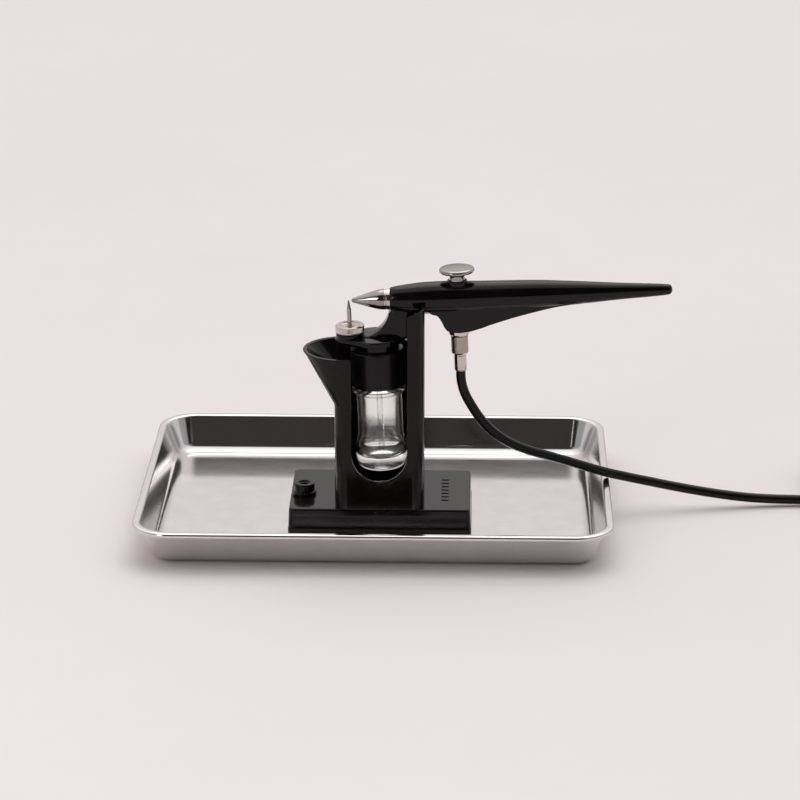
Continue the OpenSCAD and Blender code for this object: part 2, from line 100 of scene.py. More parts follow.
def rounded(outline, radius, steps=4):
    """A closed outline with its corners rounded; radius is one number, or one for each corner"""
    radii = radius if isinstance(radius, (list, tuple)) else [radius] * len(outline)
    points = [Vector(p) for p in outline]
    made = []
    for i, corner in enumerate(points):
        to_a = points[i - 1] - corner
        to_b = points[(i + 1) % len(points)] - corner
        half = to_a.angle(to_b) / 2
        if radii[i] == 0 or half > math.radians(86):
            made.append(corner)
            continue
        cut = min(radii[i] / math.tan(half), 0.48 * to_a.length, 0.48 * to_b.length)
        centre = corner + (to_a.normalized() + to_b.normalized()).normalized() * (cut / math.cos(half))
        first = corner + to_a.normalized() * cut - centre
        last = corner + to_b.normalized() * cut - centre
        turn = first.angle(last)
        for k in range(steps + 1):
            share = k / steps
            swing = first * math.sin((1 - share) * turn) + last * math.sin(share * turn)
            made.append(centre + swing / math.sin(turn))
    return made


def smooth_line(points):
    """A function through (x, y) points, which never overshoots them"""
    xs = [p[0] for p in points]
    ys = [p[1] for p in points]
    runs = [xs[i + 1] - xs[i] for i in range(len(xs) - 1)]
    rises = [(ys[i + 1] - ys[i]) / runs[i] for i in range(len(runs))]
    slopes = [rises[0]]
    for a, b in zip(rises, rises[1:]):
        slopes.append(0 if a * b <= 0 else 2 * a * b / (a + b))
    slopes.append(rises[-1])

    def height(x):
        if x <= xs[0]:
            return ys[0]
        if x >= xs[-1]:
            return ys[-1]
        i = max(k for k in range(len(runs)) if xs[k] <= x)
        t = (x - xs[i]) / runs[i]
        flow = t * t * (3 - 2 * t)
        return (ys[i] * (1 - flow) + ys[i + 1] * flow
                + runs[i] * (slopes[i] * t * (1 - t) ** 2 - slopes[i + 1] * t * t * (1 - t)))

    return height


def spread(low, high, step):
    """Even numbers from low to high, about one step apart"""
    count = max(1, round((high - low) / step))
    return [low + (high - low) * i / count for i in range(count + 1)]


# ---- meshes ----

class Shape:
    """Points and faces that grow into one piece"""

    def __init__(self):
        self.points = []
        self.faces = []

    def add(self, points, faces):
        first = len(self.points)
        self.points += [Vector(p) for p in points]
        self.faces += [[first + i for i in face] for face in faces]
        return self

    def loft(self, rings, caps=(True, True)):
        """Closed rings of equal length joined into a skin"""
        count = len(rings[0])
        points = [p for ring in rings for p in ring]
        faces = [
            [k * count + i, k * count + (i + 1) % count,
             (k + 1) * count + (i + 1) % count, (k + 1) * count + i]
            for k in range(len(rings) - 1)
            for i in range(count)
        ]
        if caps[0]:
            faces.append(list(range(count))[::-1])
        if caps[1]:
            faces.append([(len(rings) - 1) * count + i for i in range(count)])
        return self.add(points, faces)

    def turn(self, outline, segments=96, place=None, wave=None):
        """A closed [radius, height] outline turned about Z; wave changes a radius by height and angle"""
        place = place or Matrix.Identity(4)
        count = len(outline)
        rings = []
        for k in range(segments):
            angle = FULL * k / segments
            ring = []
            for radius, height in outline:
                radius = wave(radius, height, angle) if wave else radius
                ring.append(place @ Vector((radius * math.cos(angle), radius * math.sin(angle), height)))
            rings.append(ring)
        points = [p for ring in rings for p in ring]
        faces = [
            [k * count + i, ((k + 1) % segments) * count + i,
             ((k + 1) % segments) * count + (i + 1) % count, k * count + (i + 1) % count]
            for k in range(segments)
            for i in range(count)
        ]
        return self.add(points, faces)

    def piece(self, name, body, finish, stands_for=(), sharp=38, slot=None):
        """The finished object: doubles merged, faces turned outwards, smooth but for its sharp edges.

        sharp is the angle in degrees from which an edge stays sharp.
        """
        mesh = bpy.data.meshes.new(name)
        mesh.from_pydata([p * MM for p in self.points], [], self.faces)
        work = bmesh.new()
        work.from_mesh(mesh)
        bmesh.ops.remove_doubles(work, verts=work.verts, dist=2e-6)
        bmesh.ops.dissolve_degenerate(work, edges=work.edges, dist=1e-6)
        bmesh.ops.delete(work, geom=[e for e in work.edges if not e.link_faces], context="EDGES")
        bmesh.ops.recalc_face_normals(work, faces=work.faces)
        for face in work.faces:
            face.smooth = True
        work.to_mesh(mesh)
        work.free()
        mesh.set_sharp_from_angle(angle=math.radians(sharp))
        made = bpy.data.objects.new(name, mesh)
        bpy.context.scene.collection.objects.link(made)
        mesh.materials.append(finish)
        if body:
            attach(made, body)
        if stands_for:
            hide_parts(*stands_for)
        return made


def rounded_rectangle(half_w, half_d, radius, height, centre=(0, 0), steps=14, sides=6):
    """One ring round a rounded rectangle, starting on its right side"""
    ring = []
    for turn, (sx, sy) in enumerate([(1, 1), (-1, 1), (-1, -1), (1, -1)]):
        corner = (centre[0] + sx * (half_w - radius), centre[1] + sy * (half_d - radius))
        points = arc(corner, radius, 90 * turn, 90 * turn + 90, steps)
        ring += [Vector((p[0], p[1], height)) for p in points]
        nx, ny = [(-1, 1), (-1, -1), (1, -1), (1, 1)][turn]
        after = (centre[0] + nx * (half_w - radius), centre[1] + ny * (half_d - radius))
        start = Vector((*points[-1], height))
        end = Vector((*arc(after, radius, 90 * turn + 90, 90 * turn + 90, 1)[0], height))
        ring += [start.lerp(end, k / sides) for k in range(1, sides)]
    return ring


def swept_rectangle(shape, section, half_w, half_d, corner, centre=(0, 0), steps=14):
    """A section of [x, z] points, x out from the corner's centre, carried round a rounded rectangle"""
    rings = [
        rounded_rectangle(half_w - corner + x, half_d - corner + x, x, z, centre, steps)
        for x, z in section
    ]
    return shape.loft(rings)


def prism(shape, outline, low, high, edge, place=None, steps=3):
    """An outline standing between two heights, its edges rounded"""
    place = place or Matrix.Identity(4)
    points = [Vector(p) for p in outline]
    count = len(points)
    area = sum(points[i - 1].cross(points[i]) for i in range(count))
    side = 1 if area > 0 else -1
    inward = []
    for i in range(count):
        a = (points[i] - points[i - 1]).normalized()
        b = (points[(i + 1) % count] - points[i]).normalized()
        normal = Vector((-(a.y + b.y), a.x + b.x)) * side
        spare = max(0.5, math.sqrt(max(0.0, (1 + a.dot(b)) / 2)))
        inward.append(normal.normalized() / spare)
    levels = [(edge * (1 - math.sin(a)), low + edge * (1 - math.cos(a)))
              for a in [math.pi / 2 * k / steps for k in range(steps + 1)]]
    levels += [(inset, high + low - z) for inset, z in reversed(levels)]
    rings = [
        [place @ Vector((*(p + n * inset), z)) for p, n in zip(points, inward)]
        for inset, z in levels
    ]
    return shape.loft(rings)


# ---- materials ----

def node_of(tree, kind, **values):
    """A new node with its settings and its inputs' values"""
    made = tree.nodes.new(kind)
    for name, value in values.items():
        if hasattr(made, name):
            setattr(made, name, value)
        else:
            made.inputs[name.replace("_", " ")].default_value = value
    return made


def ramp(tree, source, stops):
    """A colour ramp fed by source; stops are (place, grey or colour)"""
    made = tree.nodes.new("ShaderNodeValToRGB")
    tree.links.new(source, made.inputs["Fac"])
    elements = made.color_ramp.elements
    while len(elements) < len(stops):
        elements.new(0.5)
    for element, (place, colour) in zip(elements, stops):
        element.position = place
        element.color = (*colour, 1) if isinstance(colour, tuple) else (colour, colour, colour, 1)
    return made.outputs["Color"]


def surface(name, colours, roughness, grain, bump=0.0, stretch=(1, 1, 1), detail=4, **shader):
    """A procedural finish: two colours mixed by noise, roughness that varies, and a fine bump.

    colours and roughness are (low, high); grain is the noise's scale per metre.
    """
    made = bpy.data.materials.new(name)
    made.use_nodes = True
    tree = made.node_tree
    bsdf = tree.nodes["Principled BSDF"]
    for key, value in shader.items():
        bsdf.inputs[key.replace("_", " ")].default_value = value
    where = tree.nodes.new("ShaderNodeTexCoord")
    place = tree.nodes.new("ShaderNodeMapping")
    place.inputs["Scale"].default_value = stretch
    tree.links.new(where.outputs["Object"], place.inputs["Vector"])
    noise = node_of(tree, "ShaderNodeTexNoise", Scale=grain, Detail=detail, Roughness=0.6)
    tree.links.new(place.outputs["Vector"], noise.inputs["Vector"])
    broad = node_of(tree, "ShaderNodeTexNoise", Scale=grain / 12, Detail=2.0, Roughness=0.5)
    tree.links.new(where.outputs["Object"], broad.inputs["Vector"])
    for source, span, socket in ((broad, colours, "Base Color"), (noise, roughness, "Roughness")):
        spread_over = ramp(tree, source.outputs["Fac"], [(0.3, span[0]), (0.7, span[1])])
        tree.links.new(spread_over, bsdf.inputs[socket])
    if bump:
        raised = node_of(tree, "ShaderNodeBump", Strength=1.0, Distance=bump * MM)
        tree.links.new(noise.outputs["Fac"], raised.inputs["Height"])
        tree.links.new(raised.outputs["Normal"], bsdf.inputs["Normal"])
    return made


def make_finishes():
    """The finish of each of the record's slots, and two more looks: chrome and nut_nickel"""
    return {
        "tray_steel": surface(
            "pressed_steel", ((0.71, 0.685, 0.69), (0.76, 0.735, 0.74)), (0.09, 0.16), 900,
            bump=0.004, stretch=(0.06, 1, 1), Metallic=1.0),
        "gloss_black": surface(
            "black_moulding", ((0.0045, 0.003, 0.003), (0.009, 0.006, 0.0065)), (0.1, 0.17), 500,
            bump=0.003, Specular_IOR_Level=0.2),
        "body_black": surface(
            "black_lacquer", ((0.002, 0.0017, 0.0018), (0.004, 0.0033, 0.0034)), (0.1, 0.15), 420,
            bump=0.002, Specular_IOR_Level=0.25),
        "satin_black": surface(
            "base_plate_black", ((0.004, 0.004, 0.004), (0.008, 0.007, 0.007)), (0.3, 0.42), 900,
            bump=0.008, Specular_IOR_Level=0.22),
        "lid_black": surface(
            "lid_moulding", ((0.004, 0.0035, 0.0035), (0.008, 0.0065, 0.007)), (0.26, 0.36), 1300,
            bump=0.008, Specular_IOR_Level=0.22),
        "ballast_steel": surface(
            "zinc_plate", ((0.32, 0.32, 0.33), (0.5, 0.5, 0.52)), (0.35, 0.55), 240,
            bump=0.01, Metallic=1.0),
        "foot_rubber": surface(
            "foot_rubber", ((0.02, 0.02, 0.02), (0.035, 0.035, 0.035)), (0.6, 0.8), 1500,
            bump=0.02),
        "seal_rubber": surface(
            "seal_rubber", ((0.015, 0.015, 0.015), (0.03, 0.03, 0.03)), (0.5, 0.65), 1800,
            bump=0.01),
        "seal_white": surface(
            "gasket", ((0.66, 0.65, 0.62), (0.78, 0.77, 0.74)), (0.5, 0.65), 1500,
            bump=0.01),
        "screw_steel": surface(
            "zinc_steel", ((0.5, 0.5, 0.51), (0.64, 0.64, 0.65)), (0.22, 0.36), 1600,
            bump=0.004, Metallic=1.0),
        "needle_steel": surface(
            "ground_steel", ((0.36, 0.34, 0.32), (0.46, 0.44, 0.42)), (0.16, 0.24), 1500,
            bump=0.002, stretch=(1, 1, 12), Metallic=1.0),
        "nickel": surface(
            "polished_nickel", ((0.56, 0.50, 0.465), (0.66, 0.60, 0.56)), (0.08, 0.15), 1100,
            bump=0.0015, Metallic=1.0),
        "chrome": surface(
            "dark_chrome", ((0.28, 0.26, 0.245), (0.35, 0.33, 0.31)), (0.05, 0.1), 1100,
            bump=0.0015, Metallic=1.0),
        "nut_nickel": surface(
            "brushed_nickel", ((0.33, 0.275, 0.25), (0.43, 0.37, 0.34)), (0.12, 0.2), 1100,
            bump=0.0015, Metallic=1.0),
        "brass": surface(
            "turned_brass", ((0.62, 0.46, 0.2), (0.72, 0.56, 0.28)), (0.2, 0.32), 1500,
            bump=0.003, Metallic=1.0),
        "clear_tube": surface(
            "clear_tube", ((0.93, 0.94, 0.935), (0.97, 0.975, 0.97)), (0.02, 0.06), 800,
            bump=0.003, Transmission_Weight=1.0, IOR=1.12),
        "jar_glass": surface(
            "pressed_glass", ((0.965, 0.975, 0.955), (0.985, 0.99, 0.975)), (0.09, 0.2), 160,
            bump=0.08, detail=1, Transmission_Weight=1.0, IOR=1.33),
        "hose_black": surface(
            "black_vinyl", ((0.003, 0.003, 0.003), (0.007, 0.006, 0.006)), (0.16, 0.27), 700,
            bump=0.006, Specular_IOR_Level=0.2),
        "tie_black": surface(
            "woven_strap", ((0.012, 0.012, 0.012), (0.04, 0.04, 0.04)), (0.7, 0.95), 2600,
            bump=0.08),
    }


finish = make_finishes()


def dress(node, shape, body, slot, sharp=38, look=None):
    """A finished piece that stands for one CAD node; look names a finish other than the slot's own"""
    return shape.piece("fine_" + node, body, finish[look or slot], (node,), sharp, slot)


# ---- air hose ----

HOSE_D = 4.8
COIL_AT = Vector((258, 38.4, 0.6))
COIL_R = 28.8
HOSE_ROUTE = [
    (42.4, -28.3, 83.1), (42.8, -28.3, 77), (44.7, -28.2, 70.5), (48, -27.8, 64.2),
    (51.8, -27, 58), (56.4, -25.8, 52.2), (62, -24.2, 46.8), (69, -22.2, 42),
    (77.5, -19.6, 37.8), (87, -16.2, 34), (96.5, -12.6, 30), (106, -9, 25.8),
    (116, -5.8, 21.8), (127, -3.2, 18.4), (139, -1.2, 15.2), (151, 0.4, 12.2),
    (163, 1.8, 9.5), (175, 3.2, 7.1), (187, 4.6, 5.1), (199, 5.9, 3.8),
    (210, 6.8, 3.2), (221, 7.1, 3), (231, 7.2, 3), (240, 7.2, 3), (249, 7.2, 3),
]
COIL_END = 340
END_Z = 14.45
# Turn by turn: outer, inner, inner above, outer above, then one on top. Each strand moves over before it
# would meet the one wound last, so the moves step back 60 degrees a turn.
# Each is (angle from, angle to, radius, height).
COIL_MOVES = [
    (210, 260, COIL_R - HOSE_D / 2, 3),
    (150 + 360, 205 + 360, COIL_R - HOSE_D / 2, 3 + HOSE_D),
    (90 + 720, 145 + 720, COIL_R + HOSE_D / 2, 3 + HOSE_D),
    (30 + 1080, 85 + 1080, COIL_R, 3 + 2 * HOSE_D),
    (COIL_END - 90 + 1080, COIL_END + 1080, COIL_R, END_Z),
]


def along(points, step):
    """A centripetal curve through the points, sampled about one step apart"""
    points = [Vector(p) for p in points]
    points = [2 * points[0] - points[1], *points, 2 * points[-1] - points[-2]]
    made = []
    for a, b, c, d in zip(points, points[1:], points[2:], points[3:]):
        count = max(1, round((c - b).length / step))
        for k in range(count):
            t = k / count
            made.append(0.5 * (2 * b + (c - a) * t + (2 * a - 5 * b + 4 * c - d) * t * t
                               + (3 * b - 3 * c + d - a) * t ** 3))
    return made + [points[-2]]


def coil_points(step=6):
    """The winding, from where the hose meets the coil to where the end fitting starts"""
    made = []
    for angle in spread(-90, COIL_END + 1080, step):
        radius, height = COIL_R + HOSE_D / 2, 3.0
        for start, end, new_radius, new_height in COIL_MOVES:
            share = min(1.0, max(0.0, (angle - start) / (end - start)))
            share = share * share * (3 - 2 * share)
            radius += (new_radius - radius) * share
            height += (new_height - height) * share
        a = math.radians(angle)
        made.append(Vector((COIL_AT.x + radius * math.cos(a), COIL_AT.y + radius * math.sin(a), height)))
    return made


def tube_rings(path, radius, sides):
    """Rings square to the path that never twist"""
    rings = []
    side = Vector((0, 1, 0))
    for i, p in enumerate(path):
        heading = (path[min(i + 1, len(path) - 1)] - path[max(i - 1, 0)]).normalized()
        side = (side - heading * side.dot(heading)).normalized()
        up = heading.cross(side)
        rings.append([
            p + radius * (math.cos(FULL * k / sides) * side + math.sin(FULL * k / sides) * up)
            for k in range(sides)
        ])
    return rings


def make_hose():
    path = along(HOSE_ROUTE, 2.5) + coil_points(5)
    shape = Shape().loft(tube_rings(path, HOSE_D / 2, 20))
    hose = shape.piece("air_hose", None, finish["hose_black"], ("hose", "hose_coil"), slot="hose_black")
    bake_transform(hose)


def end_place():
    """Where the end fitting's axis starts, along the coil's tangent"""
    a = math.radians(COIL_END)
    start = COIL_AT + Vector((COIL_R * math.cos(a), COIL_R * math.sin(a), END_Z - COIL_AT.z))
    heading = Vector((-math.sin(a), math.cos(a), 0))
    turned = heading.to_track_quat("Z", "Y").to_matrix().to_4x4()
    return Matrix.Translation(start) @ turned


def knurl(teeth, depth, low, high, fade=0.6):
    """A wave of fine teeth between two heights"""
    def wave(radius, height, angle):
        if radius < 3 or not low - 1e-3 <= height <= high + 1e-3:
            return radius
        edge = min(1.0, min(height - low, high - height) / fade + 0.15)
        tooth = abs((angle * teeth / FULL) % 1 - 0.5) * 2
        return radius - depth * edge * (1 - tooth)
    return wave


def make_end_fitting():
    place = end_place()
    barb = Shape().turn(rounded([(0.9, 0), (3, 0), (3, 2), (2.75, 2.3), (2.75, 3.2), (3, 3.5), (3, 5.9),
                                 (2.2, 5.9), (2.2, 7.4), (0.9, 7.4)], 0.2), 48, place)
    barb.turn(rounded([(0.9, 7.4), (3.1, 8.05), (3.1, 9.1), (0.9, 9.1)], 0.1), 48, place)
    end_barb = dress("end_barb", barb, "stand", "nickel")
    outline = [(2.3, 6), (3.5, 6), (4.15, 6.7), (4.15, 6.9), *[(4.15, z) for z in spread(7.2, 13.8, 0.6)],
               (4.15, 14.1), (3.8, 14.4), (3.8, 15), (4.1, 15.4), (4.1, 17.6), (3.7, 18), (3.26, 18),
               (3.26, 8), (2.3, 8)]
    nut = Shape().turn(outline, 216, place, knurl(36, 0.3, 6.9, 14.1))
    end_nut = dress("end_nut", nut, "far_nut", "nickel", sharp=30)
    return [end_barb, end_nut]


def make_tie():
    """A hook-and-loop strap round the coil, with its loose end folded back"""
    inner = rounded([(COIL_R - HOSE_D, 0), (COIL_R + HOSE_D, 0), (COIL_R + HOSE_D, 2 * HOSE_D),
                     (COIL_R + HOSE_D / 2, 3 * HOSE_D), (COIL_R - HOSE_D / 2, 3 * HOSE_D),
                     (COIL_R - HOSE_D, 2 * HOSE_D)], [2.2, 2.2, 2.4, 2, 2, 2.4], 6)
    count = len(inner)
    turns = [math.radians(angle) for angle in spread(142.4, 157.6, 1.2)]
    strap = Shape()
    for first, last, grow, lift in [(0, count, 0.12, 0.55), (count // 2, count - 4, 0.62, 0.45)]:
        closed = last - first == count
        rings = []
        for i in range(first, last + closed):
            flow = (inner[(i + 1) % count] - inner[i % count - 1]).normalized()
            ring = []
            for out, angles in ((grow, turns), (grow + lift, turns[::-1])):
                p = inner[i % count] + Vector((flow.y, -flow.x)) * out
                height = max(0.1, COIL_AT.z + p.y)
                ring += [Vector((COIL_AT.x + p.x * math.cos(a), COIL_AT.y + p.x * math.sin(a), height))
                         for a in angles]
            rings.append(ring)
        strap.loft(rings, caps=(not closed, not closed))
    return dress("coil_tie", strap, "stand", "tie_black", sharp=45)


# ---- tray ----

SHEET = 0.7


def make_tray():
    """The pan pressed from one sheet, with a flat rim and a lip turned down"""
    length, depth, height, corner = 236.0, 182.0, 18.7, 20.0
    foot, bend, lip_r, flat, lip, wall = 7.0, 0.8, 1.2, 2.8, 1.9, math.radians(70)
    rim_x = corner - flat
    run = (height - SHEET - bend - (SHEET + foot) + (foot + bend + SHEET) * math.cos(wall)) / math.sin(wall)
    foot_x = rim_x - run * math.cos(wall) - (foot + bend + SHEET) * math.sin(wall)
    section = [(foot_x - 1, SHEET)]
    section += arc((foot_x, SHEET + foot), foot, -90, -20, 16)
    section += arc((rim_x, height - SHEET - bend), bend + SHEET, 160, 90, 7)
    section += arc((corner - lip_r, height - lip_r), lip_r, 90, 0, 8)
    section += arc((corner - SHEET / 2, height - lip), SHEET / 2, 0, -180, 5)[:1]
    section += arc((corner - SHEET / 2, height - lip + SHEET / 4), SHEET / 2, -20, -160, 4)
    section += arc((corner - lip_r, height - lip_r), lip_r - SHEET, 0, 90, 5)
    section += arc((rim_x, height - SHEET - bend), bend, 90, 160, 6)
    section += arc((foot_x, SHEET + foot), foot + SHEET, -20, -90, 16)
    section += [(foot_x - 1, 0)]
    pan = swept_rectangle(Shape(), section, length / 2, depth / 2, corner, steps=26)
    dress("tray", pan, "tray", "tray_steel", sharp=60)


# ---- base ----

BASE_AT = (2.5, -16.4)
BASE_TOP = 15.5
PART_LINE = 5.2


def make_base():
    half_w, half_d, corner = 45.5, 30.0, 3.0
    draft = 0.35
    section = [(0.2, PART_LINE), *arc((corner - 0.3, PART_LINE + 0.3), 0.3, -90, 0, 3)]
    section += arc((corner - draft - 1.3, BASE_TOP - 1.3), 1.3, 4, 90, 7)
    section += [(corner - draft - 2.2, BASE_TOP)]
    shell = swept_rectangle(Shape(), section, half_w, half_d, corner, BASE_AT)
    # a row of plain ribs
    for i in range(7):
        low = BASE_AT[1] - 15.6 + i * 4.9
        left = BASE_AT[0] + 30.6
        outline = [(left, low), (left + 3.6, low), (left + 3.6, low + 1.6), (left, low + 1.6)]
        prism(shell, rounded(outline, 0.35, 3), BASE_TOP - 0.5, BASE_TOP + 0.35, 0.15)
    dress("base_shell", shell, "stand", "gloss_black", sharp=50)
    low, high = 1.7, PART_LINE - 0.05
    section = [(1, low), *arc((corner - 0.4, low + 0.6), 0.6, -90, 0, 4)]
    section += [*arc((corner - 0.2, high - 0.4), 0.4, 0, 90, 3), (1, high)]
    plate = swept_rectangle(Shape(), section, half_w, half_d, corner, BASE_AT)
    dress("base_plate", plate, "stand", "satin_black", sharp=50)


def make_socket():
    place = Matrix.Translation((-35.9, -23.4, 0))
    top = BASE_TOP
    outline = rounded([(1.9, 8.5), (4, 8.5), (4, top), (6.1, top), (6.1, top + 1.7), (5.3, top + 1.9),
                       (5.3, top + 6), (3.1, top + 6), (2.6, top + 5.2), (1.9, top + 5.2)],
                      [0, 0, 0, 0.1, 0.35, 0.1, 0.9, 0.5, 0.3, 0.2], 4)
    dress("socket_post", Shape().turn(outline, 96, place), "stand", "gloss_black", sharp=50)


# ---- column ----

WALL = 2.1
COLUMN_R = 22.2
COLUMN_FRONT = 18.1
COLUMN_CORNER = 6.0
RIM_Z = 93.2
SLOT_R = 13.75
SLOT_Z = 30.1 + SLOT_R
SPOUT_LOW = 69.0
SPOUT_SHIFT = 18.1
WINDOW_R = 10.0
WINDOW_Z = (28.0, 78.0)
POST_Z, POST_RISE = 115.2, 3.3
SADDLE_R = 8.35
EDGE = 0.45


def plan_points(inset):
    """The column's D-shaped plan as a closed line, about its axis"""
    r = COLUMN_R - inset
    corner = COLUMN_CORNER - inset
    front = COLUMN_FRONT - inset
    points = arc((0, 0), r, 0, 180, 72)
    points += arc((-r + corner, -front + corner), corner, 180, 270, 16)
    points += arc((r - corner, -front + corner), corner, 270, 360, 16)
    return [Vector(p) for p in points]


def wall_line(inset, low):
    """A function from angle and height to the wall's distance from the axis.

    Above low, the plan is carried out to the spout's wide round end at the rim.
    """
    foot = plan_points(inset)
    r, front = COLUMN_R - inset, COLUMN_FRONT - inset
    rim = foot + [Vector(p) for p in arc((-SPOUT_SHIFT, (r - front) / 2), (r + front) / 2, 0, 360, 120)]
    aims = [Vector((math.cos(a), math.sin(a))) for a in [FULL * (k + 0.5) / 480 for k in range(480)]]
    foot_at = [max(foot, key=aim.dot) for aim in aims]
    rim_at = [max(rim, key=aim.dot) for aim in aims]
    cache = {}

    def outline(share):
        if share not in cache:
            points = [a.lerp(b, share) for a, b in zip(foot_at, rim_at)]
            turned = sorted((round(math.atan2(p.y, p.x) % FULL, 9), p.x, p.y) for p in points)
            kept = [a for a, b in zip(turned, turned[1:] + turned[:1]) if abs(a[0] - b[0]) > 1e-7]
            cache[share] = ([t[0] for t in kept], kept)
        return cache[share]

    def distance(angle, z):
        angles, points = outline(round(min(1.0, max(0.0, (z - low) / (RIM_Z - low))), 5))
        i = bisect.bisect_right(angles, angle % FULL) % len(points)
        _, ax, ay = points[i - 1]
        _, bx, by = points[i]
        return (ax * by - ay * bx) / ((by - ay) * math.cos(angle) - (bx - ax) * math.sin(angle))

    return distance


LINES = (wall_line(0, SPOUT_LOW), wall_line(WALL, SPOUT_LOW + 3))


def wall_at(angle, z, layer):
    """A point of the wall, on its outside (layer 0) or inside (layer 1)"""
    reach = LINES[layer](angle, z)
    return Vector((reach * math.cos(angle), reach * math.sin(angle), z))


def wall_normal(angle, z, layer):
    """The solid's outward normal at a point of the wall, from small steps along it"""
    step, rise = 0.01, 0.4
    top = min(z + rise, RIM_Z) if z <= RIM_Z else z + rise
    around = wall_at(angle + step, z, layer) - wall_at(angle - step, z, layer)
    up = wall_at(angle, top, layer) - wall_at(angle, z - rise, layer)
    return around.cross(up).normalized() * (1 - 2 * layer)


def front_angles(x):
    """Where the plane at x meets the flat front: the angle outside and the angle inside"""
    return [math.atan2(-(COLUMN_FRONT - inset), x) for inset in (0, WALL)]


def back_angles(x):
    """The same where it meets the round back"""
    return [math.acos(x / (COLUMN_R - inset)) for inset in (0, WALL)]


def post_top(angle):
    """Height of the post: a slope with the saddle cut into it"""
    p = wall_at(angle, BASE_TOP, 0)
    slope = POST_Z + POST_RISE * (p.x - SLOT_R) / (COLUMN_R - SLOT_R)
    if abs(p.y) >= SADDLE_R:
        return slope
    axis = BRUSH_AT[2] + math.tan(BRUSH_TILT) * (COLUMN_AT.x + p.x - BRUSH_AT[0])
    return min(slope, axis - math.sqrt(SADDLE_R ** 2 - p.y ** 2))


def wall_edge():
    """The wall's upper edge as (angle outside, angle inside, height), once round from the slot's foot"""
    turns = [math.pi / 2 * k / 16 for k in range(17)]
    left = [(*[a + FULL for a in front_angles(-SLOT_R * math.sin(t))], SLOT_Z - SLOT_R * math.cos(t))
            for t in turns]
    rim_start = [a + FULL for a in front_angles(-SLOT_R)]
    rim_end = back_angles(SLOT_R)
    last = front_angles(SLOT_R)
    left += [(*rim_start, z) for z in spread(SLOT_Z, RIM_Z, 2.4)[1:]]

    def between(start, end, t):
        return [a + (b - a) * t for a, b in zip(start, end)]

    rim = [(*between(rim_start, rim_end, t), RIM_Z) for t in spread(0, 1, 1 / 200)[2:]]
    back = [(*rim_end, z) for z in spread(RIM_Z, post_top(rim_end[0]), 2)[1:]]
    crown = [(*between(rim_end, last, t), post_top(between(rim_end, last, t)[0]))
             for t in spread(0, 1, 1 / 60)[1:]]
    right = [(*last, z) for z in spread(SLOT_Z, crown[-1][2], 2.4)[-2::-1]]
    right += [(*front_angles(SLOT_R * math.sin(t)), SLOT_Z - SLOT_R * math.cos(t)) for t in turns[-2:0:-1]]
    return left + rim + back + crown + right


def window_edge():
    """The back window's edge in the same form, with the wall on its left"""
    low, high = WINDOW_Z
    points = []
    for middle, start in ((high - WINDOW_R, 0), (low + WINDOW_R, 180)):
        points += arc((0, middle), WINDOW_R, start, start + 180, 20)
    made = []
    for (x0, z0), (x1, z1) in zip(points, points[1:] + points[:1]):
        count = max(1, round(abs(z1 - z0) / 3))
        made += [(*back_angles(x0 + (x1 - x0) * k / count), z0 + (z1 - z0) * k / count)
                 for k in range(count)]
    return made


def encloses(loop, p):
    """Whether a point lies inside a closed line"""
    hit = False
    for a, b in zip(loop, loop[1:] + loop[:1]):
        if (a.y > p.y) != (b.y > p.y) and p.x < (b.x - a.x) * (p.y - a.y) / (b.y - a.y) + a.x:
            hit = not hit
    return hit


